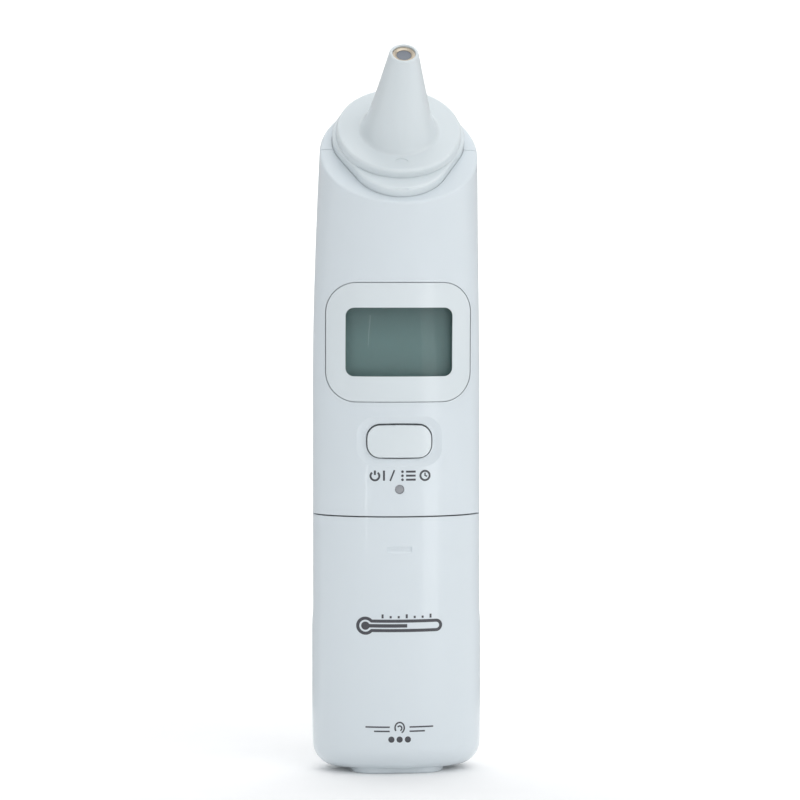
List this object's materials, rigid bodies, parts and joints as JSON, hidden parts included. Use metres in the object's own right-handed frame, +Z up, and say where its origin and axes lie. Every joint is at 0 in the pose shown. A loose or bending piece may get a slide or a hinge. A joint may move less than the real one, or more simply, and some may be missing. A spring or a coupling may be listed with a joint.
{
  "type": "digital ear thermometer",
  "caption": "Upright handheld ear thermometer with a slanted head, tapered probe, small display, press buttons and a sliding battery cover.",
  "frame": {"origin": "middle of the foot pad's underside, on which the thermometer stands", "axes": "+Z up the handle towards the head, -Y the way the display faces, +X to the right of a person who looks at the display"},
  "size_m": [0.0362, 0.0371, 0.1534],
  "materials": {
    "casing_white": "glossy white",
    "trim_white": "glossy white, slightly warmer",
    "foot_white": "satin",
    "window_clear": "clear, polished",
    "lcd_grey": "grey-green, blank",
    "inner_black": "satin",
    "inner_white": "satin",
    "contact_rubber": "soft",
    "gasket_rubber": "soft",
    "board_green": "solder mask",
    "chip_black": "matt",
    "ceramic_tan": "matt",
    "spring_steel": "nickel plated",
    "screw_steel": "zinc plated",
    "can_steel": "nickel plated",
    "tube_gold": "gold plated",
    "sensor_dark": "dark infrared filter",
    "block_metal": "machined",
    "flex_amber": "polyimide",
    "led_grey": "translucent grey",
    "cell_jacket": "printed sleeve, plain",
    "label_silver": "satin film"
  },
  "bodies": {
    "handle": {"front_shell": "casing_white", "rear_shell": "casing_white", "rating_label": "label_silver", "display_bezel": "trim_white", "display_window": "window_clear", "lcd_glass": "lcd_grey", "lcd_frame": "inner_black", "zebra_strip_lower": "contact_rubber", "zebra_strip_upper": "contact_rubber", "front_switch_base": "inner_black", "rear_switch_base": "inner_black", "led_lens": "led_grey", "led_chip": "inner_white", "probe_collar": "trim_white", "collar_gasket": "gasket_rubber", "probe_nozzle": "trim_white", "sensor_block": "block_metal", "probe_screws": "screw_steel", "waveguide_tube": "tube_gold", "sensor_window": "sensor_dark", "thermopile_can": "can_steel", "thermopile_header": "can_steel", "thermopile_leads": "tube_gold", "sensor_board": "board_green", "sensor_flex": "flex_amber", "main_board": "board_green", "processor": "chip_black", "amplifier_chip": "chip_black", "memory_chip": "chip_black", "crystal": "can_steel", "board_capacitors": "ceramic_tan", "buzzer": "inner_black", "battery_chassis": "inner_white", "battery_cell_left": "cell_jacket", "battery_cell_right": "cell_jacket", "cell_spring_left": "spring_steel", "cell_spring_right": "spring_steel", "contact_plate_left": "spring_steel", "contact_plate_right": "spring_steel", "bridge_contact": "spring_steel", "case_screws": "screw_steel", "board_screws": "screw_steel"},
    "cover": {"battery_cover": "casing_white", "foot_pad": "foot_white"},
    "front_button": {"on_button": "trim_white", "front_switch_plunger": "inner_white"},
    "rear_button": {"measure_button": "trim_white", "rear_switch_plunger": "inner_white"}
  },
  "joints": [
    {"name": "cover_slide", "type": "slide", "parent": "handle", "child": "cover", "axis": [0, 0, -1], "range_m": [0, 0.06]},
    {"name": "on_button_press", "type": "slide", "parent": "handle", "child": "front_button", "axis": [0, 1, 0], "range_m": [0, 0.0006], "stiffness_N_per_m": 2500, "springref_m": -0.0001},
    {"name": "measure_button_press", "type": "slide", "parent": "handle", "child": "rear_button", "axis": [0, -1, 0], "range_m": [0, 0.0008], "stiffness_N_per_m": 2200, "springref_m": -0.0001}
  ]
}
